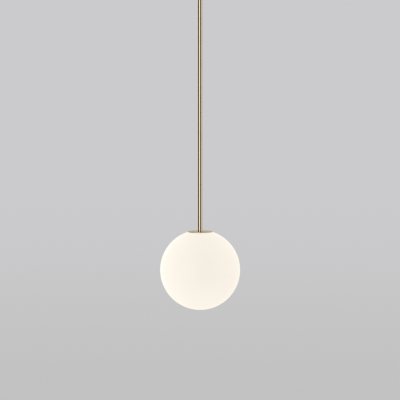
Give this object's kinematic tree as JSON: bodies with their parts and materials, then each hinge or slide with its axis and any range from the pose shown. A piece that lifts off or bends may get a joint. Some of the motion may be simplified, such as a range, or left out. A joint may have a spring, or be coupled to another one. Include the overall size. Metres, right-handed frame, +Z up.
{
  "type": "pendant ceiling light",
  "caption": "Pendant light: an opal glass ball under a small flat brass cap, hung from a ceiling canopy by a slim rigid brass tube on a hang-straight ball swivel.",
  "frame": {"origin": "middle of the ceiling plane, midway between the two ceiling slots, on the mounting plate's top face", "axes": "+Z up into the ceiling, with the light hanging along -Z; X through the two ceiling slots and the canopy's side screws; +Y towards the terminal block"},
  "size_m": [0.15, 0.15, 0.6865],
  "materials": {
    "zinc_steel": "zinc-plated, satin",
    "polished_brass": "polished and lacquered",
    "raw_brass": "machined",
    "steel_screw": "bright, machined",
    "spring_steel": "bright stainless strip",
    "nylon_white": "moulded nylon",
    "housing_white": "moulded, matt",
    "wire_brown": "extruded sheath",
    "wire_blue": "extruded sheath",
    "wire_green_yellow": "extruded sheath, green with a yellow stripe",
    "tinned": "tinned copper",
    "silicone": "translucent silicone",
    "steatite": "unglazed steatite",
    "opal_glass": "opal, glossy, lit from inside",
    "lamp_white": "moulded",
    "lamp_frost": "frosted",
    "pcb": "white-coated board",
    "led_yellow": "phosphor"
  },
  "bodies": {
    "ceiling_mount": {"mounting_plate": "zinc_steel", "canopy": "polished_brass", "canopy_screw_right": "polished_brass", "canopy_screw_left": "polished_brass", "ball_socket": "polished_brass", "socket_ring_nut": "raw_brass", "liner_pivot_pins": "steel_screw", "terminal_housing": "housing_white", "terminal_tubes": "raw_brass", "terminal_screws": "steel_screw", "terminal_fixing_screws": "steel_screw", "earth_screw": "steel_screw", "earth_cup_washer": "raw_brass", "jumper_ring_terminal": "tinned", "earth_jumper": "wire_green_yellow", "lead_ferrules": "tinned", "live_tail": "wire_brown", "neutral_tail": "wire_blue", "earth_tail": "wire_green_yellow"},
    "liner": {"swivel_liner": "nylon_white"},
    "stem": {"swivel_ball": "polished_brass", "top_nipple": "raw_brass", "top_lock_washer": "zinc_steel", "top_lock_nut": "raw_brass", "top_lead_bush": "nylon_white", "stem_tube": "polished_brass", "bottom_nipple": "raw_brass", "globe_cap": "polished_brass", "globe_gasket": "silicone", "spring_carrier": "zinc_steel", "globe_spring_1": "spring_steel", "globe_spring_2": "spring_steel", "globe_spring_3": "spring_steel", "spring_rivets": "raw_brass", "lampholder_bracket": "zinc_steel", "earth_tag": "tinned", "bottom_lock_washer": "zinc_steel", "bottom_lock_nut": "raw_brass", "bottom_lead_bush": "nylon_white", "lampholder_body": "steatite", "lampholder_cover": "steatite", "lampholder_screws": "steel_screw", "contact_live": "tinned", "contact_neutral": "tinned", "live_lead": "wire_brown", "neutral_lead": "wire_blue", "earth_lead": "wire_green_yellow"},
    "globe": {"glass_globe": "opal_glass"},
    "lamp": {"lamp_base": "lamp_white", "lamp_pins": "tinned", "lamp_board": "pcb", "lamp_leds": "led_yellow", "lamp_cover": "lamp_frost"}
  },
  "joints": [
    {"name": "stem_swing_x", "type": "hinge", "parent": "ceiling_mount", "child": "liner", "pos_m": [0, 0, -0.028], "axis": [1, 0, 0], "range_deg": [-20, 20], "deforming": ["live_tail", "neutral_tail", "earth_tail"]},
    {"name": "stem_swing_y", "type": "hinge", "parent": "liner", "child": "stem", "pos_m": [0, 0, -0.028], "axis": [0, 1, 0], "range_deg": [-20, 20]},
    {"name": "globe_pull_off", "type": "slide", "parent": "stem", "child": "globe", "axis": [0, 0, -1], "range_m": [0, 0.1], "deforming": ["globe_spring_1", "globe_spring_2", "globe_spring_3"]},
    {"name": "lamp_pull_out", "type": "slide", "parent": "stem", "child": "lamp", "axis": [0, 0, -1], "range_m": [0, 0.03]}
  ]
}
